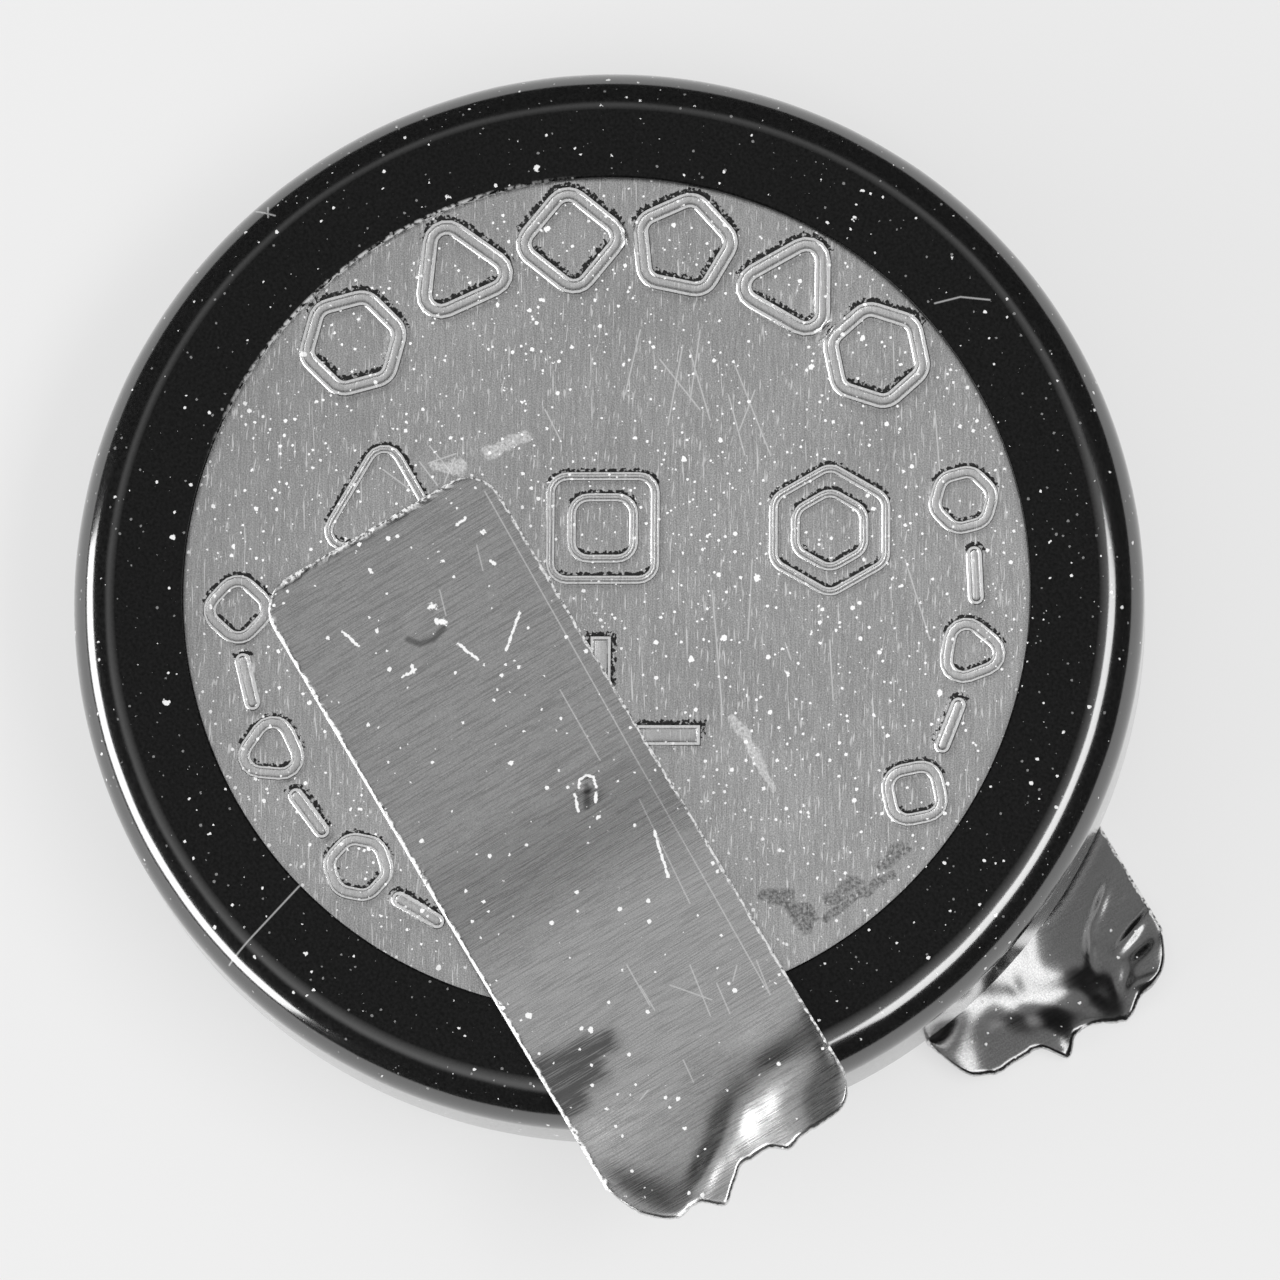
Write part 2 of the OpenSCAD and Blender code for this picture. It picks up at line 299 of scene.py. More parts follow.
def scratchGroup():
    tree, given, out = newGroup("scratchLine", [
        ("Vector", "Vector", None), ("From", "Vector", None), ("To", "Vector", None),
        ("Width", "Float", 0.00002), ("Before", "Float", 0.0)], "Mask")
    flat = calcVector(tree, "MULTIPLY", given["Vector"], (1.0, 1.0, 0.0))
    there = calcVector(tree, "SUBTRACT", flat, given["From"])
    whole = calcVector(tree, "SUBTRACT", given["To"], given["From"])
    share = calc(tree, "DIVIDE", calcVector(tree, "DOT_PRODUCT", there, whole),
                 calcVector(tree, "DOT_PRODUCT", whole, whole), clamp=True)
    away = calcVector(tree, "DISTANCE", there, calcVector(tree, "SCALE", whole, scale=share))
    line = remap(tree, away, given["Width"], 0.0)
    tree.links.new(calc(tree, "MAXIMUM", line, given["Before"]), out.inputs["Mask"])
    return tree


def spotGroup():
    # a ragged speckled patch along a short line, broken up by a given pattern
    tree, given, out = newGroup("raggedSpot", [
        ("Vector", "Vector", None), ("From", "Vector", None), ("To", "Vector", None),
        ("Reach", "Float", 0.0005), ("Pattern", "Float", 0.5), ("Before", "Float", 0.0)], "Mask")
    push = calc(tree, "MULTIPLY", given["Reach"], 2.6)
    moved = calcVector(tree, "ADD", given["Vector"], drift(tree, given["Vector"], 3200.0, 3.0, push))
    line = addNode(tree, "ShaderNodeGroup", {
        "Vector": moved, "From": given["From"], "To": given["To"], "Width": given["Reach"]},
        node_tree=scratchLine).outputs[0]
    inner = remap(tree, line, 0.0, 0.6, interpolation_type="SMOOTHSTEP")
    crisp = remap(tree, calc(tree, "MULTIPLY", inner, given["Pattern"]), 0.24, 0.62)
    tree.links.new(calc(tree, "MAXIMUM", crisp, given["Before"]), out.inputs["Mask"])
    return tree


brushGrain = brushGroup()
dustSpecks = speckGroup()
scratchLine = scratchGroup()
raggedSpot = spotGroup()


class Finish:
    # one material under way: its tree, its place vector and its shader

    def __init__(self, name):
        self.material = bpy.data.materials.new(name)
        self.material.use_nodes = True
        self.tree = self.material.node_tree
        self.shader = self.tree.nodes["Principled BSDF"]
        self.place = addNode(self.tree, "ShaderNodeTexCoord").outputs["Object"]

    def group(self, group, **inputs):
        return addNode(self.tree, "ShaderNodeGroup", {"Vector": self.place, **inputs},
                       node_tree=group).outputs[0]

    def math(self, operation, *values):
        return calc(self.tree, operation, *values)

    def spread(self, value, low, high, outLow, outHigh):
        return remap(self.tree, value, low, high, outLow, outHigh)

    def vary(self, value, outLow, outHigh):
        # a noise stays between about 0.3 and 0.7
        return remap(self.tree, value, 0.3, 0.7, outLow, outHigh)

    def noise(self, scale, detail=2.0):
        return addNode(self.tree, "ShaderNodeTexNoise", {
            "Vector": self.place, "Scale": scale, "Detail": detail}).outputs[0]

    def mix(self, share, a, b):
        return addNode(self.tree, "ShaderNodeMix", {0: share, 6: a, 7: b},
                       data_type="RGBA").outputs[2]

    def brush(self, turn, row):
        lean, along, across, detail = row
        return self.group(brushGrain, Angle=turn + lean, Along=along, Across=across, Detail=detail)

    def dust(self, sizes):
        return self.most(*[self.group(dustSpecks, Cell=cell, Size=size, Share=share)
                           for cell, size, share in sizes])

    def lines(self, group, start, end, **inputs):
        return self.group(group, From=(start[0] * mm, start[1] * mm, 0.0),
                          To=(end[0] * mm, end[1] * mm, 0.0), **inputs)

    def scratches(self, marks, width):
        mask = 0.0
        for start, end in marks:
            mask = self.lines(scratchLine, start, end, Width=width * mm, Before=mask)
        return mask

    def spots(self, places, pattern):
        mask = 0.0
        for start, end, reach in places:
            mask = self.lines(raggedSpot, start, end, Reach=reach * mm, Pattern=pattern, Before=mask)
        return mask

    def most(self, *values):
        mask = values[0]
        for value in values[1:]:
            mask = self.math("MAXIMUM", mask, value)
        return mask

    def trait(self, name):
        return addNode(self.tree, "ShaderNodeAttribute", attribute_name=name).outputs["Fac"]

    def axis(self, index):
        return addNode(self.tree, "ShaderNodeSeparateXYZ", {0: self.place}).outputs[index]

    def even(self, value):
        return addNode(self.tree, "ShaderNodeCombineColor", {0: value, 1: value, 2: value}).outputs[0]

    def finish(self, colour=None, roughness=None, metallic=None, height=None, depth=0.002, **fixed):
        for key, value in (("Base Color", colour), ("Roughness", roughness), ("Metallic", metallic)):
            if isinstance(value, bpy.types.NodeSocket):
                self.tree.links.new(value, self.shader.inputs[key])
            elif value is not None:
                self.shader.inputs[key].default_value = value
        for key, value in fixed.items():
            self.shader.inputs[key.replace("_", " ")].default_value = value
        if height is not None:
            bump = addNode(self.tree, "ShaderNodeBump", {
                "Height": height, "Distance": depth * mm, "Strength": 1.0})
            self.tree.links.new(bump.outputs[0], self.shader.inputs["Normal"])
        return self.material


can = {
    "wall": 0.2,  # mm
    "corner": 0.4,
    "crimp": 0.42,
    "lip": 0.26,
    "discR": 5.6,  # the stamped disc ends here and the turned side begins
    "segments": 256,
}
canLow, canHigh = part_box("positive_can")
can["radius"] = canHigh[0] / mm
can["low"] = canLow[2] / mm
can["high"] = canHigh[2] / mm

steelLook = {
    "brushTurn": math.radians(149.1),  # the face's brushing runs up and down in the picture
    # brushings as turn off the first in radians, scale along and across, and detail
    "grain": (0.0, 2600.0, 52000.0, 3.0),
    "flecks": (0.04, 5200.0, 36000.0, 1.0),
    "tears": (-0.03, 1500.0, 30000.0, 1.0),
    # dust as cells to the metre, size in a cell, and the share of cells that hold a speck
    "dust": [(4300.0, 0.18, 0.34), (9500.0, 0.28, 0.66), (17000.0, 0.34, 0.42)],
    "colour": 0.50,
    "roughness": 0.30,
    "scratchWide": 0.014,  # mm
    "scratches": [
        ((-2.12, 2.30), (-1.38, 1.66)), ((-2.03, 2.34), (-1.17, 2.12)), ((-1.59, 2.71), (-0.44, 2.52)),
        ((-2.29, 0.50), (-1.88, 0.47)), ((-2.54, 1.96), (-1.96, 1.41)), ((-1.32, 2.46), (-0.60, 2.26)),
        ((0.61, 1.10), (1.93, 0.46)), ((0.54, 1.69), (1.34, 1.16)), ((0.10, 4.47), (0.75, 4.15)),
        ((-2.11, 1.98), (-1.34, 2.08)), ((-2.17, 2.57), (-1.50, 2.04)), ((-1.21, 2.76), (-0.89, 2.36)),
        ((1.84, 1.99), (2.48, 1.66)), ((1.47, 3.25), (2.45, 3.01)), ((-2.52, -1.10), (-2.16, -1.06)),
        ((-2.62, -0.90), (-2.20, -0.84)), ((-2.45, -1.02), (-2.38, -0.68)), ((-2.66, -1.52), (-2.22, -1.34)),
        ((-2.34, -0.72), (-2.14, -0.98)), ((1.60, 1.52), (1.80, 1.48)),
    ],
    # ragged patches, as from, to and reach in mm
    "corrosion": [((4.30, -0.05), (4.62, 0.12), 0.22), ((4.48, 0.45), (4.50, 0.80), 0.13),
                  ((4.44, 1.12), (4.44, 1.45), 0.12), ((4.10, -0.20), (4.18, 0.05), 0.12),
                  ((4.66, 0.30), (4.62, 1.20), 0.10)],
    "smears": [((-2.16, -0.36), (-2.16, 0.10), 0.13), ((2.05, 0.53), (3.00, 0.53), 0.09),
               ((-2.36, -0.96), (-2.24, -0.74), 0.12)],
}


def canSteel():
    look = Finish("canSteel")
    turn = -steelLook["brushTurn"]
    grain = look.brush(turn, steelLook["grain"])
    base = steelLook["colour"]
    shade = look.spread(grain, 0.34, 0.66, base * 0.86, base * 1.13)
    shade = look.math("MULTIPLY", shade, look.vary(look.noise(62000.0, 1.0), 0.70, 1.26))
    shade = look.math("MULTIPLY", shade, look.vary(look.noise(700.0, 3.0), 0.93, 1.07))
    smears = look.math("MULTIPLY", look.spots(steelLook["smears"], look.noise(30000.0, 4.0)), 0.55)
    dust = look.most(look.dust(steelLook["dust"]), smears)
    flecks = look.spread(look.brush(turn, steelLook["flecks"]), 0.63, 0.72, 0.0, 0.85)
    tears = look.spread(look.brush(turn, steelLook["tears"]), 0.71, 0.76, 0.0, 0.9)
    broken = look.spread(look.noise(30000.0), 0.3, 0.48, 0.55, 0.95)
    # pale worn edges of the grooves, partly real burnish and partly a painted highlight
    worn = look.math("MULTIPLY", look.trait("worn"), broken)
    # painted shade: a ragged dark band on the groove sides towards the picture's top
    torn = look.math("ADD", look.trait("paintedShade"), look.vary(look.noise(22000.0), -0.55, 0.55))
    dark = look.spread(torn, 0.62, 0.78, 0.0, 1.0)
    lines = look.scratches(steelLook["scratches"], steelLook["scratchWide"])
    white = look.most(dust, flecks, tears, worn, look.math("MULTIPLY", lines, 0.9))
    rust = look.math("MULTIPLY", look.spots(steelLook["corrosion"], look.noise(26000.0, 4.0)), 0.8)
    # the darkest colour covers both the real rust and that painted shade
    colour = look.mix(look.most(rust, dark), look.mix(white, look.even(shade), grey(0.95)), grey(0.04))
    metal = look.math("SUBTRACT", 1.0, look.most(dust, rust))
    rough = look.spread(grain, 0.2, 0.8, steelLook["roughness"] - 0.06, steelLook["roughness"] + 0.08)
    rough = look.most(rough, look.math("MULTIPLY", dust, 0.9), look.math("MULTIPLY", rust, 0.9))
    return look.finish(colour, rough, metal, height=grain, depth=0.0018)


tabLook = {
    "brushTurn": math.radians(90.0),
    "grain": (0.0, 2200.0, 62000.0, 2.0),
    "dust": [(3600.0, 0.18, 0.4), (9000.0, 0.27, 0.5)],
    "shadeFrom": 1.9,  # mm along the cell where the painted shade changes: the colour lightens here, standing in for the tab's tilt over the sleeve
    "shadeTo": 3.0,
    "scratchWide": 0.013,
    "scratches": [
        ((-1.78, -0.62), (5.15, -0.78)), ((-1.27, -1.03), (-0.97, -1.12)), ((-1.03, -1.68), (-0.73, -1.77)),
        ((2.36, -0.92), (3.75, -1.04)), ((0.74, -1.06), (1.71, -1.08)), ((4.00, -2.05), (4.55, -2.06)),
        ((4.47, -1.73), (4.87, -1.40)), ((4.73, -1.25), (5.12, -1.30)), ((4.67, -0.94), (4.80, -1.07)),
        ((5.46, -2.73), (5.41, -2.59)), ((5.31, -2.05), (5.60, -2.08)), ((4.73, -0.71), (5.17, -0.78)),
        ((4.29, -2.04), (4.63, -2.04)), ((4.38, -1.41), (5.02, -1.51)),
    ],
    "fibreWide": 0.03,
    "fibres": [
        ((-1.19, -2.92), (-0.95, -2.85)), ((-0.31, -1.00), (0.0, -1.37)), ((-0.37, -1.82), (-0.07, -1.71)),
        ((-0.36, -2.58), (-0.35, -2.41)), ((2.78, -0.96), (3.34, -1.10)),
        ((1.86, -1.46), (1.79, -1.41)), ((1.79, -1.41), (1.78, -1.30)), ((1.78, -1.30), (1.84, -1.25)),
        ((1.84, -1.25), (1.96, -1.28)), ((1.91, -1.54), (2.10, -1.61)), ((2.02, -1.32), (2.12, -1.38)),
        ((-0.42, -2.42), (-0.34, -2.44)), ((-1.02, -0.98), (-0.96, -0.96)), ((-1.60, -1.12), (-1.62, -0.98)),
    ],
    "fleckWide": 0.06,
    "flecks": [((-0.92, -1.87), (-0.89, -1.84)), ((-0.73, -1.90), (-0.66, -1.82))],  # on the first weld
    # painted shade: dark streaks near the -Y edge where the tab bends over the sleeve
    "shadeStreakReach": 0.27,
    "shadeStreaks": [((4.54, -3.60), (4.67, -2.72)), ((4.74, -3.60), (4.76, -2.95)),
                ((4.92, -3.60), (4.92, -3.02)), ((5.10, -3.60), (5.08, -3.35))],
    "stainReach": 0.06,
    "stains": [((-0.71, -2.30), (-0.59, -2.21)), ((-0.59, -2.21), (-0.56, -2.04)),  # by the first weld
               ((-0.56, -2.04), (-0.61, -1.87)),
               ((1.90, -1.38), (1.96, -1.40)), ((2.02, -1.44), (2.12, -1.50))],
}


def tabSteel(name, shades, grainShare, roughness, marked):
    look = Finish(name)
    grain = look.brush(tabLook["brushTurn"], tabLook["grain"])
    early, late = shades
    # painted shading: the colour steps from the early to the late shade along the cell, standing in for the
    # tab's tilt
    level = look.spread(look.axis(0), tabLook["shadeFrom"] * mm, tabLook["shadeTo"] * mm, early, late)
    shade = look.math("MULTIPLY", level, look.spread(
        grain, 0.34, 0.66, 1.0 - 0.24 * grainShare, 1.0 + 0.2 * grainShare))
    shade = look.math("MULTIPLY", shade, look.vary(look.noise(62000.0, 1.0), 0.84, 1.14))
    # pale worn edges, partly real wear and partly a painted highlight along the tab's edges
    edge = look.math("MULTIPLY", look.spread(look.trait("edgeWearAndSheen"), 0.15, 0.55, 0.0, 0.95),
                     look.spread(look.noise(22000.0), 0.4, 0.56, 0.3, 1.0))
    pale = look.most(look.dust(tabLook["dust"]), edge)
    white, dark = pale, 0.0
    if marked:
        fine = look.math("MULTIPLY", look.scratches(tabLook["scratches"], tabLook["scratchWide"]), 0.75)
        ragged = look.spread(look.noise(26000.0), 0.35, 0.65, -0.3, 0.3)
        for marks, wide in (("fibres", "fibreWide"), ("flecks", "fleckWide")):
            broken = look.math("ADD", look.scratches(tabLook[marks], tabLook[wide]), ragged)
            pale = look.most(pale, look.spread(broken, 0.32, 0.6, 0.0, 1.0))
        white = look.most(pale, fine)
        streaks = look.vary(grain, -0.45, 0.45)
        # painted shade: dark streaks along the brushing where the tab bends over the sleeve
        shadeStreak = look.math("ADD", look.scratches(tabLook["shadeStreaks"], tabLook["shadeStreakReach"]), streaks)
        stain = look.scratches(tabLook["stains"], tabLook["stainReach"])
        # the dark colour mixes that painted shade with the stains by the welds
        dark = look.most(look.spread(shadeStreak, 0.22, 0.85, 0.0, 0.85),
                         look.spread(stain, 0.1, 0.7, 0.0, 0.6))
    colour = look.mix(white, look.mix(dark, look.even(shade), grey(0.07)), grey(0.92))
    metal = look.math("SUBTRACT", 1.0, look.math("MULTIPLY", pale, 0.8))
    rough = look.most(look.spread(grain, 0.2, 0.8, roughness - 0.05, roughness + 0.05),
                      look.math("MULTIPLY", pale, 0.9))
    return look.finish(colour, rough, metal, height=grain, depth=0.0016 * grainShare)


sleeveLook = {
    "dust": [(3700.0, 0.18, 0.34), (9500.0, 0.24, 0.36)],
    "faintDust": [(15000.0, 0.3, 0.3)],
    "black": 0.004,
    "specular": 0.15,
    "glossFrom": 5.84,  # mm from the axis where the stretched film turns glossy
    "glossTo": 5.95,
    "glossIndex": 2.2,
    "scratchWide": 0.016,
    "scratches": [((1.17, -4.88), (1.53, -6.08)), ((-0.99, 5.12), (-0.90, 5.42)),
                  ((-0.90, 5.42), (-0.69, 5.70)), ((-6.17, -1.24), (-5.97, -1.08)),
                  ((-6.12, -1.10), (-6.00, -1.16))],
    "rimFrom": 5.06,  # a ragged white line painted on the window's edge, on the side towards the picture's top left
    "rimTo": 5.03,
    "rimSide": (-0.99, -0.12, 0.0),
    "rimLow": 4.2,  # mm towards that side where it fades in
    "rimHigh": 4.9,
}


def sleeveFilm():
    look = Finish("sleeveFilm")
    fine = look.noise(26000.0, 3.0)
    broad = look.noise(900.0, 3.0)
    dust = look.most(look.dust(sleeveLook["dust"]),
                     look.math("MULTIPLY", look.dust(sleeveLook["faintDust"]), 0.25))
    lines = look.math("MULTIPLY", look.scratches(sleeveLook["scratches"], sleeveLook["scratchWide"]), 0.5)
    flat = calcVector(look.tree, "MULTIPLY", look.place, (1.0, 1.0, 0.0))
    radius = calcVector(look.tree, "LENGTH", flat)
    towards = calcVector(look.tree, "DOT_PRODUCT", flat, sleeveLook["rimSide"])
    # a ragged white line on the window's edge, only on the side towards the picture's top left
    rim = look.spread(radius, sleeveLook["rimFrom"] * mm, sleeveLook["rimTo"] * mm, 0.0, 0.8)
    rim = look.math("MULTIPLY", rim, look.spread(
        towards, sleeveLook["rimLow"] * mm, sleeveLook["rimHigh"] * mm, 0.0, 1.0))
    rim = look.math("MULTIPLY", rim, look.spread(look.noise(14000.0), 0.42, 0.58, 0.0, 1.0))
    black = look.vary(fine, sleeveLook["black"] * 0.4, sleeveLook["black"] * 2.2)
    colour = look.mix(look.most(dust, lines, rim), look.even(black), grey(0.8))
    rough = look.most(look.vary(fine, 0.15, 0.28), look.math("MULTIPLY", dust, 0.9))
    height = look.math("ADD", look.math("MULTIPLY", fine, 0.3), broad)
    gloss = look.spread(radius, sleeveLook["glossFrom"] * mm, sleeveLook["glossTo"] * mm, 0.0, 1.0)
    look.tree.links.new(gloss, look.shader.inputs["Coat Weight"])
    return look.finish(colour, rough, height=height, depth=0.005, Coat_Roughness=0.12,
                       Coat_IOR=sleeveLook["glossIndex"], Specular_IOR_Level=sleeveLook["specular"])


def plainFinish(name, shade, roughness, metallic, scale, tint=(1.0, 1.0, 1.0)):
    look = Finish(name)
    cloud = look.noise(scale, 4.0)
    low = [shade * 0.85 * part for part in tint] + [1.0]
    high = [min(1.0, shade * 1.1 * part) for part in tint] + [1.0]
    colour = look.mix(look.vary(cloud, 0.0, 1.0), low, high)
    rough = look.vary(cloud, roughness - 0.06, roughness + 0.06)
    return look.finish(colour, rough, metallic, height=cloud, depth=0.003)


finishes = {
    "canSteel": canSteel(),
    # the positive tab's colour lightens along the cell: painted shading for its tilt
    "tabSteel": tabSteel("tabSteel", (0.42, 0.50), 1.0, 0.28, True),
    # painted shade: a darker copy of the tab steel for the negative tab, standing in for the dark
    # surroundings its flat part mirrors
    "tabSteelPaintedDark": tabSteel("tabSteelPaintedDark", (0.19, 0.19), 0.25, 0.2, False),
    "sleeveFilm": sleeveFilm(),
    "capSteel": plainFinish("capSteel", 0.6, 0.3, 1.0, 2500.0),
    "gasketPlastic": plainFinish("gasketPlastic", 0.24, 0.5, 0.0, 4000.0),
    "cathodeMix": plainFinish("cathodeMix", 0.03, 0.85, 0.0, 9000.0),
    "collectorSteel": plainFinish("collectorSteel", 0.55, 0.3, 1.0, 5000.0),
    "separatorFelt": plainFinish("separatorFelt", 0.8, 0.9, 0.0, 12000.0, (1.0, 1.0, 0.97)),
    "lithiumFoil": plainFinish("lithiumFoil", 0.62, 0.4, 1.0, 3000.0, (0.97, 0.98, 1.0)),
}
print("finishes ready")


# Pieces turned about the cell's axis

def arcPoints(centre, radius, startDeg, endDeg, steps):
    points = []
    for index in range(steps + 1):
        turn = math.radians(startDeg + (endDeg - startDeg) * index / steps)
        points.append((centre[0] + radius * math.cos(turn), centre[1] + radius * math.sin(turn)))
    return points


def latheTree():
    # turns a section, drawn in XZ, about Z: a grid whose one side samples the section
    tree, given, out = newGroup("turnedShell", [
        ("Section", "Geometry", None), ("Section Points", "Int", None), ("Segments", "Int", None),
        ("Ripple", "Float", None), ("Ripple Scale", "Float", None), ("Finish", "Material", None)],
        "Shell", "Geometry", "GeometryNodeTree")
    grid = addNode(tree, "GeometryNodeMeshGrid", {
        "Size X": 1.0, "Size Y": 1.0, "Vertices X": calc(tree, "ADD", given["Segments"], 1.0),
        "Vertices Y": given["Section Points"]})
    where = addNode(tree, "GeometryNodeInputPosition").outputs[0]
    parts = addNode(tree, "ShaderNodeSeparateXYZ", {0: where}).outputs
    angle = calc(tree, "MULTIPLY", calc(tree, "ADD", parts[0], 0.5), 2 * math.pi)
    last = calc(tree, "SUBTRACT", given["Section Points"], 1.0)
    index = calc(tree, "MULTIPLY", calc(tree, "ADD", parts[1], 0.5), last)
    sample = addNode(tree, "GeometryNodeSampleIndex", {
        "Geometry": given["Section"], "Value": where, "Index": calc(tree, "ROUND", index)},
        data_type="FLOAT_VECTOR", domain="POINT")
    section = addNode(tree, "ShaderNodeSeparateXYZ", {0: sample.outputs[0]}).outputs
    ring = addNode(tree, "ShaderNodeCombineXYZ", {
        0: calc(tree, "COSINE", angle), 1: calc(tree, "SINE", angle)})
    flat = calcVector(tree, "SCALE", ring.outputs[0], scale=section[0])
    lift = addNode(tree, "ShaderNodeCombineXYZ", {2: section[2]})
    placed = calcVector(tree, "ADD", flat, lift.outputs[0])
    ripple = drift(tree, placed, given["Ripple Scale"], 2.0, given["Ripple"])
    shaped = addNode(tree, "GeometryNodeSetPosition", {
        "Geometry": grid.outputs["Mesh"], "Position": calcVector(tree, "ADD", placed, ripple)})
    merged = addNode(tree, "GeometryNodeMergeByDistance", {
        "Geometry": shaped.outputs[0], "Distance": 0.0005 * mm})
    real = addNode(tree, "GeometryNodeRealizeInstances", {0: merged.outputs[0]})
    dressed = addNode(tree, "GeometryNodeSetMaterial", {
        "Geometry": real.outputs[0], "Material": given["Finish"]})
    tree.links.new(dressed.outputs[0], out.inputs["Shell"])
    return tree


turnedShell = latheTree()


def runTree(obj, tree, values):
    modifier = obj.modifiers.new("shape", "NODES")
    modifier.node_group = tree
    for item in tree.interface.items_tree:
        if item.in_out == "INPUT" and item.name in values:
            modifier[item.identifier] = values[item.name]
    graph = bpy.context.evaluated_depsgraph_get()
    mesh = bpy.data.meshes.new_from_object(obj.evaluated_get(graph))
    obj.modifiers.clear()
    obj.data = mesh


def turned(name, section, finish, segments=256, ripple=0.0, rippleScale=300.0, closed=True):
    points = section + section[:1] if closed else section
    mesh = bpy.data.meshes.new(name)
    mesh.from_pydata([(r * mm, 0.0, z * mm) for r, z in points],
                     [(i, i + 1) for i in range(len(points) - 1)], [])
    obj = newObject(name, mesh)
    runTree(obj, turnedShell, {
        "Section Points": len(points), "Segments": segments, "Ripple": ripple * mm,
        "Ripple Scale": rippleScale, "Finish": finish})
    finishMesh(obj)
    return obj


sleeve = {
    "film": 0.12,  # mm
    "foldIn": 1.35,
    "baseWindow": 5.3,
    "lowCorner": 0.54,
    "highCorner": 0.52,
    "edgeRound": 0.03,
    "gap": 0.001,  # between the film and the can
    "segments": 320,
    "ripple": 0.012,
    "rippleScale": 900.0,
    "flatSteps": 8,
}
sleeveLow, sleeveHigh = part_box("sleeve")
sleeve["radius"] = sleeveHigh[0] / mm
sleeve["low"] = sleeveLow[2] / mm
sleeve["high"] = sleeveHigh[2] / mm


def makeSleeve():
    r = sleeve["radius"]
    film, gap = sleeve["film"], sleeve["gap"]
    window = r - sleeve["foldIn"]
    base = sleeve["baseWindow"]
    soft = sleeve["edgeRound"]
    low, high = sleeve["low"], sleeve["high"]
    lowR, highR = sleeve["lowCorner"], sleeve["highCorner"]
    section = [(base, low + film - gap), (base, low + soft)]
    section += arcPoints((base + soft, low + soft), soft, 180, 270, 4)[1:]
    section += arcPoints((r - lowR, low + lowR), lowR, 270, 360, 24)
    section += arcPoints((r - highR, high - highR), highR, 0, 90, 24)
    steps = sleeve["flatSteps"]
    flatStart, flatEnd = r - highR, window + soft
    for index in range(1, steps):
        section.append((flatStart + (flatEnd - flatStart) * index / steps, high))
    section += arcPoints((window + soft, high - soft), soft, 90, 180, 5)
    section.append((window, high - film + gap))
    inner = film - gap
    section += arcPoints((r - highR, high - highR), highR - inner, 90, 0, 12)
    section += arcPoints((r - lowR, low + lowR), lowR - inner, 360, 270, 12)
    shell = turned("sleeveSkin", section, finishes["sleeveFilm"], sleeve["segments"],
                   sleeve["ripple"], sleeve["rippleScale"])
    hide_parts("sleeve")
    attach(shell, "root")


makeSleeve()
print("sleeve made")


# Can, with plain shapes stamped into its face

# Across the edge of a stamped groove: distance outside it and height in mm, then how worn
# bright it is (partly a painted highlight) and how dark the painted shade is on the side
# towards the picture's top
stampEdge = [
    (0.14, 0.0, 0.0, 0.0), (0.12, 0.0, 0.0, 0.1), (0.085, -0.003, 0.0, 0.8), (0.044, -0.006, 0.0, 1.0),
    (0.032, 0.004, 1.0, 0.0), (0.002, 0.004, 1.0, 0.0), (-0.014, -0.014, 0.5, 0.0),
    (-0.032, -0.018, 0.4, 0.0),
]

stamps = {
    "stroke": 0.11,  # mm, width of a groove
    "fineStroke": 0.05,
    "round": 0.2,  # corner radius along the middle of a groove
    "topR": 4.3,  # mm from the axis to the row along the top of the window
    "topReach": 0.56,
    "topTurns": [194.2, 173.7, 155.2, 137.2, 118.8, 101.1],  # degrees about the axis
    "topSides": [6, 3, 4, 5, 3, 6],
    "footR": 4.38,
    "footReach": 0.26,
    "footTurnsLeft": [241.5, 253.0, 264.5, 276.0, 287.5, 299.0],
    "footTurnsRight": [26.0, 38.0, 50.0, 62.0, 74.0],
    "footSides": [4, 2, 3, 2, 6, 2],
    "footGrow": 0.08,  # the foot row's hollow shapes reach this much further than its bars
    "footStroke": 0.1,
    "fineShare": 0.7,  # share of the edge's width and depth on finer shapes
    "shadeFrom": 0.1,  # cosine of the lean off the picture's top where the painted shade begins
    "shadeRise": 0.5,
    "plusPlace": (1.424, -0.923),
    "plusHalf": 1.15,
    "plusStroke": 0.17,
    "upTurn": 149.1,  # degrees: the picture's upward direction on the face
    "middle": [  # place, sides, reach to a corner, turn
        ((-0.705, 0.367), 4, 0.80, 45.0), ((-0.705, 0.367), 4, 0.44, 45.0),
        ((0.703, 2.667), 6, 0.74, 0.0), ((0.703, 2.667), 6, 0.44, 0.0),
        ((-2.25, -1.75), 3, 0.72, 0.0),
    ],
}


def roundedLoop(place, sides, reach, turnDeg, swell, corner):
    # points with the direction out of the shape; the corners are arcs of the same middles, so
    # that every swell of the loop stays parallel
    loop = []
    steps = 8 if sides == 2 else 5
    for index in range(sides):
        middle = math.radians(turnDeg + 360.0 * index / sides)
        cx = place[0] + (reach - corner) * math.cos(middle)
        cy = place[1] + (reach - corner) * math.sin(middle)
        for step in range(steps + 1):
            turn = middle + (step / steps - 0.5) * 2 * math.pi / sides
            loop.append((cx + (corner + swell) * math.cos(turn), cy + (corner + swell) * math.sin(turn),
                         math.degrees(turn)))
    return loop


def plusLoop(swell):
    arm = stamps["plusHalf"] + swell
    half = stamps["plusStroke"] / 2 + swell
    turn = math.radians(stamps["upTurn"])
    quarter = [(arm, -half), (arm, half), (half, half)]
    loop = []
    for index in range(4):
        spin = turn + index * math.pi / 2
        for x, y in quarter:
            loop.append((stamps["plusPlace"][0] + x * math.cos(spin) - y * math.sin(spin),
                         stamps["plusPlace"][1] + x * math.sin(spin) + y * math.cos(spin),
                         math.degrees(spin + math.copysign(math.pi / 3, y))))
    return loop


def ringedPlace(radius, turnDeg):
    turn = math.radians(turnDeg)
    return (radius * math.cos(turn), radius * math.sin(turn))


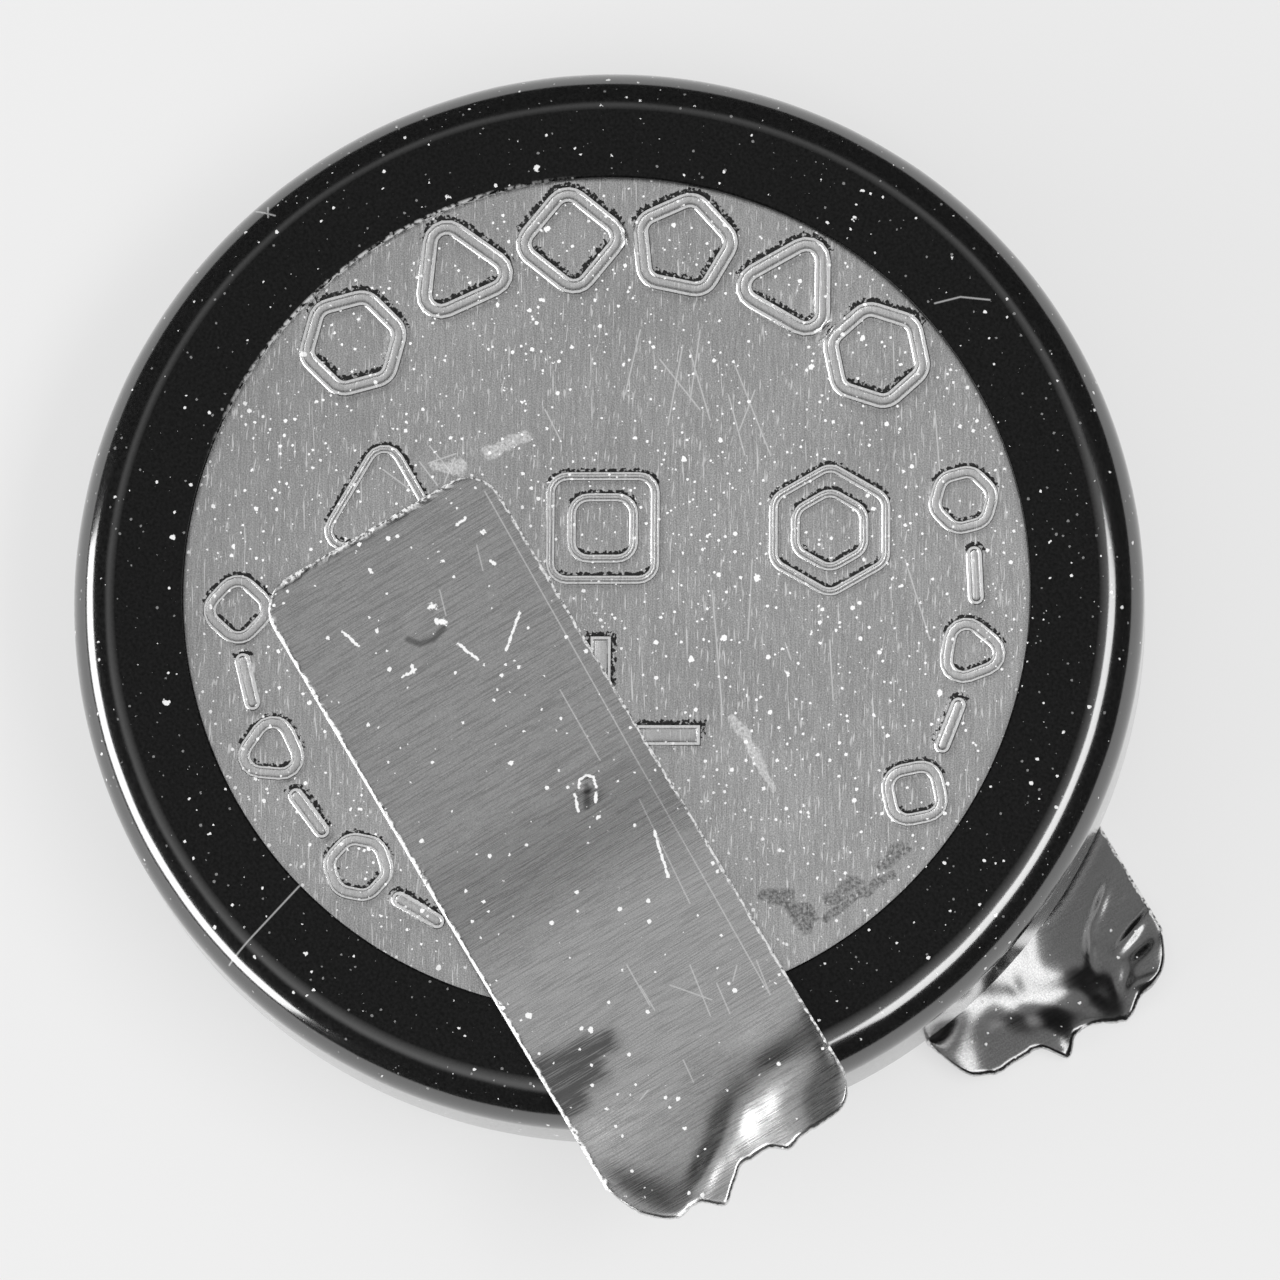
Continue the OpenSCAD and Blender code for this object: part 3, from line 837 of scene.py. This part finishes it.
def stampLoops():
    loops = []

    def addLoop(loop, height, worn, dark, inwards=False):
        shades = []
        for point in loop:
            lean = math.radians(point[2] + (180.0 if inwards else 0.0) - stamps["upTurn"])
            # each point's painted shade, darkest where the edge faces the picture's top
            share = (math.cos(lean) - stamps["shadeFrom"]) / stamps["shadeRise"]
            shades.append(dark * smoothStep(share))
        loops.append(([point[:2] for point in loop], height, worn, shades))

    def hollow(place, sides, reach, turnDeg, stroke, share):
        for out, height, worn, dark in stampEdge:
            away = stroke / 2 + out * share
            for inwards in (False, True):
                swell = -away if inwards else away
                addLoop(roundedLoop(place, sides, reach, turnDeg, swell, stamps["round"]),
                        height * share, worn, dark, inwards)

    def bar(place, reach, turnDeg):
        for out, height, worn, dark in stampEdge:
            addLoop(roundedLoop(place, 2, reach, turnDeg, stamps["stroke"] / 2 + out, 0.0),
                    height, worn, dark)

    for turnDeg, sides in zip(stamps["topTurns"], stamps["topSides"]):
        hollow(ringedPlace(stamps["topR"], turnDeg), sides, stamps["topReach"], turnDeg,
               stamps["stroke"], 1.0)
    for turns in (stamps["footTurnsLeft"], stamps["footTurnsRight"]):
        for turnDeg, sides in zip(turns, stamps["footSides"]):
            place = ringedPlace(stamps["footR"], turnDeg)
            if sides == 2:
                bar(place, stamps["footReach"], turnDeg + 90.0)
            else:
                hollow(place, sides, stamps["footReach"] + stamps["footGrow"], turnDeg,
                       stamps["footStroke"], stamps["fineShare"])
    for place, sides, reach, turnDeg in stamps["middle"]:
        hollow(place, sides, reach, turnDeg + stamps["upTurn"], stamps["fineStroke"],
               stamps["fineShare"])
    for out, height, worn, dark in stampEdge:
        addLoop(plusLoop(out), height, worn, dark)
    return loops


def faceDisc():
    count = can["segments"]
    points, traits, edges = [], [], []

    def addLoop(loop, height, worn, shades):
        start = len(points)
        for point, shade in zip(loop, shades):
            points.append(Vector(point))
            traits.append((height, worn, shade))
        size = len(loop)
        edges.extend((start + i, start + (i + 1) % size) for i in range(size))

    rim = [ringedPlace(can["discR"], 360.0 * i / count) for i in range(count)]
    addLoop(rim, 0.0, 0.0, [0.0] * count)
    for loop in stampLoops():
        addLoop(*loop)
    found = geometry.delaunay_2d_cdt(points, edges, [], 0, 1e-6, True)
    flat, faces, origins = found[0], found[2], found[3]
    kept = [traits[source[0]] if source else (0.0, 0.0, 0.0) for source in origins]
    high = can["high"]
    mesh = bpy.data.meshes.new("canFace")
    mesh.from_pydata([(place.x * mm, place.y * mm, (high + trait[0]) * mm)
                      for place, trait in zip(flat, kept)], [], faces)
    # the worn trait is partly a painted highlight; the other trait is painted shade on the grooves' top
    # sides
    for index, name in ((1, "worn"), (2, "paintedShade")):
        layer = mesh.attributes.new(name, "FLOAT", "POINT")
        layer.data.foreach_set("value", [trait[index] for trait in kept])
    mesh.materials.append(finishes["canSteel"])
    return newObject("canFace", mesh)


def makeCan():
    r, low, high = can["radius"], can["low"], can["high"]
    wall, corner, crimp = can["wall"], can["corner"], can["crimp"]
    lipR = r - crimp - can["lip"]
    section = [(can["discR"], high)]
    section += arcPoints((r - corner, high - corner), corner, 90, 0, 12)
    section += arcPoints((r - crimp, low + crimp), crimp, 0, -90, 12)
    section += [(lipR, low), (lipR, low + wall)]
    section += arcPoints((r - crimp, low + crimp), crimp - wall, -90, 0, 8)
    section += arcPoints((r - corner, high - corner), corner - wall, 0, 90, 8)
    section += [(0.0, high - wall)]
    shell = turned("canShell", section, finishes["canSteel"], can["segments"], closed=False)
    face = faceDisc()
    slotIndex = shell.data.polygons[0].material_index
    work = bmesh.new()
    work.from_mesh(face.data)
    work.from_mesh(shell.data)
    for part in work.faces:
        part.material_index = slotIndex
    work.to_mesh(shell.data)
    work.free()
    bpy.data.objects.remove(face)
    finishMesh(shell, 35.0)
    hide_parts("positive_can")
    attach(shell, "root")


makeCan()
print("can made")


# Tabs

def turnedGap(x, y, middleX, middleY, reachX, reachY, turnDeg):
    # square of the distance from a dent's middle, counted in its turned reaches
    turn = math.radians(turnDeg)
    dx, dy = x - middleX, y - middleY
    a = (dx * math.cos(turn) + dy * math.sin(turn)) / reachX
    b = (dy * math.cos(turn) - dx * math.sin(turn)) / reachY
    return a * a + b * b


def dentHeight(x, y, dents):
    total = 0.0
    for *form, height in dents:
        total += height * math.exp(-turnedGap(x, y, *form))
    return total


def weldHeight(x, y, welds):
    total = 0.0
    for *form, height, flat in welds:
        gap = turnedGap(x, y, *form)
        if gap < 6:
            total += height * math.exp(-gap ** flat)
    return total


def tableSlope(table, index):
    before, after = max(index - 1, 0), min(index + 1, len(table) - 1)
    return (table[after][1] - table[before][1]) / (table[after][0] - table[before][0])


def fromTable(value, table):
    # a smooth curve through the table's points
    for index in range(len(table) - 1):
        (x0, y0), (x1, y1) = table[index], table[index + 1]
        if value <= x1:
            long = x1 - x0
            t = (value - x0) / long
            s0, s1 = tableSlope(table, index) * long, tableSlope(table, index + 1) * long
            return ((2 * t ** 3 - 3 * t ** 2 + 1) * y0 + (t ** 3 - 2 * t ** 2 + t) * s0
                    + (3 * t ** 2 - 2 * t ** 3) * y1 + (t ** 3 - t ** 2) * s1)
    return table[-1][1]


tabs = {
    "width": 3.12,  # mm
    "thick": 0.15,
    "length": 9.0,
    "cornerR": 0.45,
    "crush": 1.75,
    "tearDepth": 0.6,
    "crushDepth": 0.25,
    "crushRows": 72,
    "welds": [(1.336, 0.0), (4.04, 0.61)],
    "weldNear": 0.3,
    "bevelLow": 0.065,  # worn band, painted pale and partly a painted highlight, along the -Y edge, along the +Y edge and at the welded end
    "bevelHigh": 0.036,
    "bevelEnd": 0.085,
    "bevelDrop": 0.03,
    "thinDrop": 0.010,
    "wobble": [(0.7, 9.0, 0.0), (0.5, 21.0, 7.0)],  # of the bands: share, scale and noise layer
    "ragged": [(0.03, 7.0, 0.0), (0.012, 26.0, 5.0)],  # of the torn edge: mm, scale and noise layer
    "raggedFrom": 0.8,  # the torn edge's unevenness, thinning and worn band (painted pale, partly a painted highlight), as shares of the crush
    "raggedLong": 0.2,
    "thinFrom": 0.975,
    "thinLong": 0.025,
    "wornFrom": 0.98,
    "wornLong": 0.02,
    "tornThin": 0.025,  # mm off the torn edge's upper side
    "tornUnder": 0.4,  # share of that off its underside
    "tornWorn": 0.4,
    "creaseFrom": 5.95,  # mm from the cell's axis where small creases begin
    "creaseRise": 0.35,
    "knee": 0.03,
    "step": 0.05,
    "fineStep": 0.022,
    "shortStep": 0.02,
    "columnStep": 0.036,
    "endRows": [0.0, 0.008, 0.02, 0.035, 0.05],  # mm in from the welded end
    "edgeColumns": [0.0, 0.008, 0.018, 0.03, 0.045, 0.062],  # mm in from a long edge
}

# Dents and ridges round the welds, as along, across, their reaches, turn and height in mm,
# and how flat the middle is
positiveWelds = [
    (1.336, 0.0, 0.22, 0.22, 0, -0.006, 4), (1.24, 0.21, 0.05, 0.05, 0, 0.012, 1),
    (4.00, 0.68, 0.20, 0.16, 0, -0.008, 3), (3.93, 0.70, 0.05, 0.10, -30, 0.014, 1),
    (4.02, 0.66, 0.05, 0.05, 0, -0.014, 1),
]
negativeWelds = [(1.336, 0.0, 0.2, 0.2, 0, -0.03, 2), (4.04, 0.61, 0.2, 0.2, 0, -0.03, 2)]


def settled(z, lowest):
    # the underside nears the table softly, where the strip was pressed on it
    knee = lowest + tabs["knee"]
    return z if z > knee else lowest + tabs["knee"] * math.exp((z - knee) / tabs["knee"])


# In each tab: "lowest" limits the underside, a "tear" lists shares across and along, "dents" are
# in shares of the crushed stretch, and "creases" are small dents at places in the shared frame.
# Dents and creases give place, reaches, turn and height
positiveTab = {
    "name": "positiveTabStrip", "node": "positive_tab", "finish": "tabSteel", "slot": "tab_steel",
    "start": (-2.1, -2.05), "under": 1.0, "up": 1,
    "joggleFrom": 1.6, "joggleLong": 1.85, "joggleRise": 0.14, "seed": 3, "welds": positiveWelds,
    "lowest": -1.0,
    "creases": [(6.58, -2.45, 0.14, 0.30, 35, 0.06)],
    "tear": [(-1, -1.25), (-0.9, -0.62), (-0.8, -0.26), (-0.64, -0.03), (-0.42, -0.04),
             (-0.27, 0.24), (-0.15, -0.03), (-0.02, -0.28), (0.12, -0.30), (0.24, -0.26),
             (0.34, -0.09), (0.47, -0.17), (0.8, -0.2), (0.92, -0.36), (1, -0.8)],
    "dents": [(0.52, 0.58, 0.16, 0.26, 8, 0.3), (0.7, 0.1, 0.25, 0.13, -50, 0.21),
              (0.95, -0.77, 0.27, 1.2, -55, 0.47), (0.86, 0.53, 0.62, 0.33, -16, -0.83),
              (0.69, -1.22, 0.39, 0.77, 12, -0.53), (0.9, 0.75, 0.7, 0.52, 83, 0.99)],
}

negativeTab = {
    # its finish is the darker painted-shade copy of the tab steel
    "name": "negativeTabStrip", "node": "negative_tab", "finish": "tabSteelPaintedDark", "slot": "tab_bright",
    "start": (-2.0, 2.17), "under": -1.15, "up": -1,
    "joggleFrom": 0.0, "joggleLong": 1.0, "joggleRise": 0.0, "seed": 8, "welds": negativeWelds,
    "lowest": -0.092,
    "creases": [(6.57, 1.98, 0.75, 0.27, 65, -0.099), (6.04, 1.53, 0.18, 0.56, 32, 0.043),
                (6.25, 1.99, 0.22, 0.12, 0, -0.025), (5.97, 1.42, 0.13, 0.49, 17, 0.058),
                (5.95, 3.24, 0.06, 0.26, 40, 0.022), (6.36, 2.86, 0.06, 0.26, 62, 0.022),
                (6.60, 3.42, 0.10, 0.26, 10, -0.03), (6.42, 3.42, 0.06, 0.3, 20, 0.03),
                (6.85, 3.05, 0.08, 0.2, 50, -0.03), (7.02, 3.30, 0.07, 0.3, -10, 0.03)],
    "tear": [(-1, -1.1), (-0.87, -0.27), (-0.68, 0.03), (-0.48, 0.07), (-0.27, 0.07),
             (-0.12, 0.5), (0.03, 0.17), (0.2, 0.2), (0.4, 0.47), (0.58, 0.23), (0.74, 0.13),
             (0.88, -0.13), (1, -0.73)],
    "dents": [(1.06, 0.03, 0.21, 0.58, 44, -0.38), (0.81, 0.83, 0.25, 0.28, -75, 0.33),
              (1.16, -1.16, 0.19, 0.78, 56, 0.62), (0.72, 0.51, 0.15, 0.39, 2, -0.26),
              (0.74, 0.48, 0.18, 0.21, -41, 0.52), (0.34, -0.12, 0.19, 0.53, 48, 0.38)],
}


def alongPlaces(sound):
    places = list(tabs["endRows"])
    while places[-1] < sound - tabs["shortStep"]:
        here = places[-1]
        near = min(abs(here - weld[0]) for weld in tabs["welds"]) < tabs["weldNear"]
        places.append(here + (tabs["fineStep"] if near else tabs["step"]))
    places[-1] = sound
    return places


def acrossPlaces():
    half = tabs["width"] / 2
    edge = tabs["edgeColumns"]
    between = tabs["width"] - 2 * edge[-1]
    count = int(between / tabs["columnStep"])
    middle = [-half + edge[-1] + between * i / count for i in range(1, count)]
    outer = [-half + e for e in edge]
    return [y / half for y in outer + middle + [-y for y in reversed(outer)]]


def stripFaces(rowCount, width):
    # upper and lower skin, then the long edges, then the two ends
    count = rowCount * width
    faces = []
    for i in range(rowCount - 1):
        for j in range(width - 1):
            a = i * width + j
            faces.append((a, a + width, a + width + 1, a + 1))
            faces.append((a + count, a + 1 + count, a + width + 1 + count, a + width + count))
    last = (rowCount - 1) * width
    for i in range(rowCount - 1):
        a, b = i * width, (i + 1) * width
        faces.append((a, a + count, b + count, b))
        faces.append((a + width - 1, b + width - 1, b + width - 1 + count, a + width - 1 + count))
    for j in range(width - 1):
        faces.append((j, j + 1, j + 1 + count, j + count))
        faces.append((last + j, last + j + count, last + j + 1 + count, last + j + 1))
    return faces


def makeTab(tab):
    half = tabs["width"] / 2
    sound = tabs["length"] - tabs["crush"]
    rows = [(s, 0.0) for s in alongPlaces(sound)]
    rows += [(sound, (i + 1) / tabs["crushRows"]) for i in range(tabs["crushRows"])]
    columns = acrossPlaces()
    seed = Vector((tab["seed"], 0.0, 0.0))
    cornerR = tabs["cornerR"]
    top, low, edgeWearAndSheen = [], [], []
    for s, u in rows:
        back = cornerR - min(s, cornerR)
        rowHalf = half - cornerR + math.sqrt(max(cornerR ** 2 - back ** 2, 0.0))
        for v in columns:
            x, y, z = s, v * rowHalf, 0.0
            worldY = y + tab["start"][1]
            if u > 0:
                ragged = 0.0
                for high, scale, layer in tabs["ragged"]:
                    ragged += noise.noise(Vector((v * scale, layer, 0.0)) + seed) * high
                reach = tabs["crush"] + tabs["tearDepth"] * fromTable(v, tab["tear"])
                x = sound + u * reach + smoothStep((u - tabs["raggedFrom"]) / tabs["raggedLong"]) * ragged
            worldX = x + tab["start"][0]
            if u > 0:
                z = tabs["crushDepth"] * smoothStep(3 * u) * dentHeight(u, v, tab["dents"])
                # the creases die out under the sleeve
                free = smoothStep((math.hypot(worldX, worldY) - tabs["creaseFrom"]) / tabs["creaseRise"])
                z += dentHeight(worldX, worldY, tab["creases"]) * free
            under = settled(z, tab["lowest"]) - z
            z += tab["joggleRise"] * smoothStep((worldX - tab["joggleFrom"]) / tab["joggleLong"])
            wobble = 1.0
            for share, scale, layer in tabs["wobble"]:
                wobble += share * noise.noise(Vector((x * scale, v * scale, layer)) + seed)
            roll = max(0.0, 1.0 - (y + rowHalf) / (tabs["bevelLow"] * wobble))
            if u == 0:
                roll = max(roll, 1.0 - s / (tabs["bevelEnd"] * wobble))
            thinRoll = max(0.0, 1.0 - (rowHalf - y) / (tabs["bevelHigh"] * wobble))
            worn = tabs["bevelDrop"] * wobble * roll * roll + tabs["thinDrop"] * thinRoll * thinRoll
            roll = max(roll, min(1.0, thinRoll * 2.0))
            torn = tabs["tornThin"] * smoothStep((u - tabs["thinFrom"]) / tabs["thinLong"])
            weld = weldHeight(x, y, tab["welds"])
            upper = z + tabs["thick"] - (worn + torn)
            lower = z + under + torn * tabs["tornUnder"]
            if tab["up"] > 0:
                upper += weld
            else:
                lower -= weld
            # the pale worn bands along the edges and the torn end are partly a painted highlight
            tornWear = tabs["tornWorn"] * smoothStep((u - tabs["wornFrom"]) / tabs["wornLong"])
            edgeWearAndSheen.append(max(roll, tornWear))
            top.append((worldX * mm, worldY * mm, (tab["under"] + upper) * mm))
            low.append((worldX * mm, worldY * mm, (tab["under"] + lower) * mm))
    mesh = bpy.data.meshes.new(tab["name"])
    mesh.from_pydata(top + low, [], stripFaces(len(rows), len(columns)))
    mesh.attributes.new("edgeWearAndSheen", "FLOAT", "POINT").data.foreach_set("value", edgeWearAndSheen + edgeWearAndSheen)
    mesh.materials.append(finishes[tab["finish"]])
    obj = newObject(tab["name"], mesh)
    finishMesh(obj, 50.0)
    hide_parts(tab["node"])
    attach(obj, "root")


makeTab(positiveTab)
makeTab(negativeTab)
print("tabs made")


# Finishes of the CAD nodes that stay

nodeFinish = {
    "negative_cap": "capSteel",
    "gasket": "gasketPlastic",
    "cathode_pellet": "cathodeMix",
    "collector_ring": "collectorSteel",
    "separator": "separatorFelt",
    "lithium_disc": "lithiumFoil",
}
for nodeName, finishName in nodeFinish.items():
    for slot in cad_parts[nodeName].material_slots:
        slot.material = finishes[finishName]
